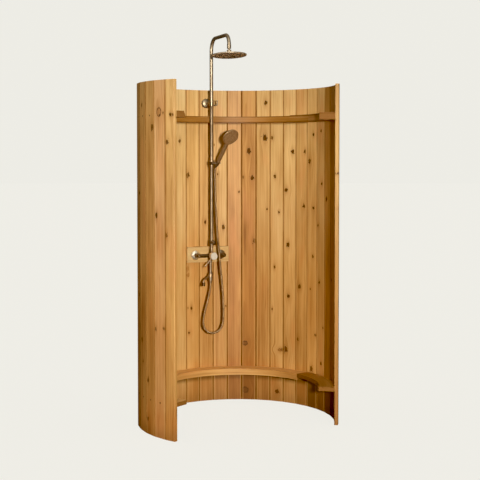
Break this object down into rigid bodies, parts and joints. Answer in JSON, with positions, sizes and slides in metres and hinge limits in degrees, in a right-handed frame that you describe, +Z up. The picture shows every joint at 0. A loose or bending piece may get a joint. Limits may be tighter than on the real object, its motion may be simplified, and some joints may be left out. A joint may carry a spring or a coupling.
{
  "type": "outdoor shower",
  "caption": "Free-standing round shower stall of upright cedar staves with an exposed bronze column, mixer, swivel spout, sliding hand shower and overhead rain head.",
  "frame": {"origin": "centre of the floor area that the shower's box covers, on the floor", "axes": "+Z up, +Y towards the back where the plumbing stands, the doorway opens towards -Y, +X to the right of someone who looks in through the doorway"},
  "size_m": [1.1814, 0.9503, 2.301],
  "materials": {
    "cedar_light": "oiled, satin",
    "cedar_mid": "oiled, satin",
    "cedar_dark": "oiled, satin",
    "brace_wood": "sawn, matte",
    "board_wood": "planed, matte",
    "screw_metal": "dull",
    "bronze": "brushed, aged",
    "bronze_dark": "dark, aged",
    "hose_metal": "spiral-wound, satin",
    "spray_face": "satin with small nozzles"
  },
  "bodies": {
    "wall_and_column": {"stave_01": "cedar_dark", "stave_02": "cedar_mid", "stave_03": "cedar_mid", "stave_04": "cedar_light", "stave_05": "cedar_light", "stave_06": "cedar_dark", "stave_07": "cedar_mid", "stave_08": "cedar_mid", "stave_09": "cedar_light", "stave_10": "cedar_light", "stave_11": "cedar_dark", "stave_12": "cedar_mid", "stave_13": "cedar_mid", "stave_14": "cedar_light", "stave_15": "cedar_light", "stave_16": "cedar_dark", "stave_17": "cedar_mid", "stave_18": "cedar_mid", "stave_19": "cedar_light", "stave_20": "cedar_light", "stave_21": "cedar_dark", "stave_22": "cedar_mid", "stave_23": "cedar_mid", "stave_24": "cedar_light", "stave_25": "cedar_light", "stave_26": "cedar_dark", "stave_27": "cedar_mid", "upper_back_brace": "brace_wood", "upper_left_brace": "brace_wood", "upper_right_brace": "brace_wood", "lower_back_brace": "brace_wood", "lower_right_brace": "brace_wood", "lower_left_brace": "brace_wood", "backing_board": "board_wood", "brace_screws": "screw_metal", "supply_stubs": "bronze", "wall_flanges": "bronze", "union_nuts": "bronze_dark", "mixer_body": "bronze", "diverter_body": "bronze", "riser_pipe": "bronze", "gooseneck_arm": "bronze", "wall_bracket": "bronze", "hose_outlet": "bronze", "hose_nut_lower": "bronze", "hose": "hose_metal"},
    "cartridge": {"cartridge_stem": "bronze"},
    "mixer_handle": {"mixer_cap": "bronze", "mixer_lever": "bronze"},
    "diverter": {"diverter_knob": "bronze_dark"},
    "spout": {"swivel_spout": "bronze", "spout_aerator": "bronze_dark"},
    "slider": {"slider_body": "bronze"},
    "clamp_knob": {"slider_knob": "bronze_dark"},
    "holder": {"handset_holder": "bronze"},
    "handset": {"handset_body": "bronze", "handset_face": "spray_face", "hose_nut_upper": "bronze"},
    "head_stud": {"ball_stud": "bronze"},
    "head": {"rain_head": "bronze"}
  },
  "joints": [
    {"name": "mixer_turn", "type": "hinge", "parent": "wall_and_column", "child": "cartridge", "pos_m": [0, 0.2853, 0.94], "axis": [0, -1, 0], "range_deg": [-8, 92]},
    {"name": "mixer_lift", "type": "hinge", "parent": "cartridge", "child": "mixer_handle", "pos_m": [0, 0.2853, 0.94], "axis": [-0.7193, 0, 0.6947], "range_deg": [0, 22]},
    {"name": "diverter_turn", "type": "hinge", "parent": "wall_and_column", "child": "diverter", "pos_m": [0, 0.2773, 1.024], "axis": [0, -1, 0], "range_deg": [-90, 90]},
    {"name": "spout_swivel", "type": "hinge", "parent": "wall_and_column", "child": "spout", "pos_m": [-0.007, 0.3123, 0.817], "axis": [0, 0, 1], "range_deg": [-30, 78]},
    {"name": "slider_slide", "type": "slide", "parent": "wall_and_column", "child": "slider", "axis": [0, 0, 1], "range_m": [-0.3, 0.225], "deforming": ["hose"]},
    {"name": "slider_knob_turn", "type": "hinge", "parent": "slider", "child": "clamp_knob", "pos_m": [-0.015, 0.2753, 1.52], "axis": [-1, 0, 0], "range_deg": [-90, 270]},
    {"name": "holder_tilt", "type": "hinge", "parent": "slider", "child": "holder", "pos_m": [0.02, 0.2753, 1.52], "axis": [1, 0, 0], "range_deg": [-20, 22]},
    {"name": "handset_lift", "type": "slide", "parent": "holder", "child": "handset", "axis": [0.2363, -0.5068, 0.829], "range_m": [0, 0.045]},
    {"name": "head_turn", "type": "hinge", "parent": "wall_and_column", "child": "head_stud", "pos_m": [0, -0.0027, 2.19], "axis": [0, 0, 1], "range_deg": [-60, 60]},
    {"name": "head_tilt", "type": "hinge", "parent": "head_stud", "child": "head", "pos_m": [0, -0.0027, 2.19], "axis": [1, 0, 0], "range_deg": [-12, 12]}
  ]
}
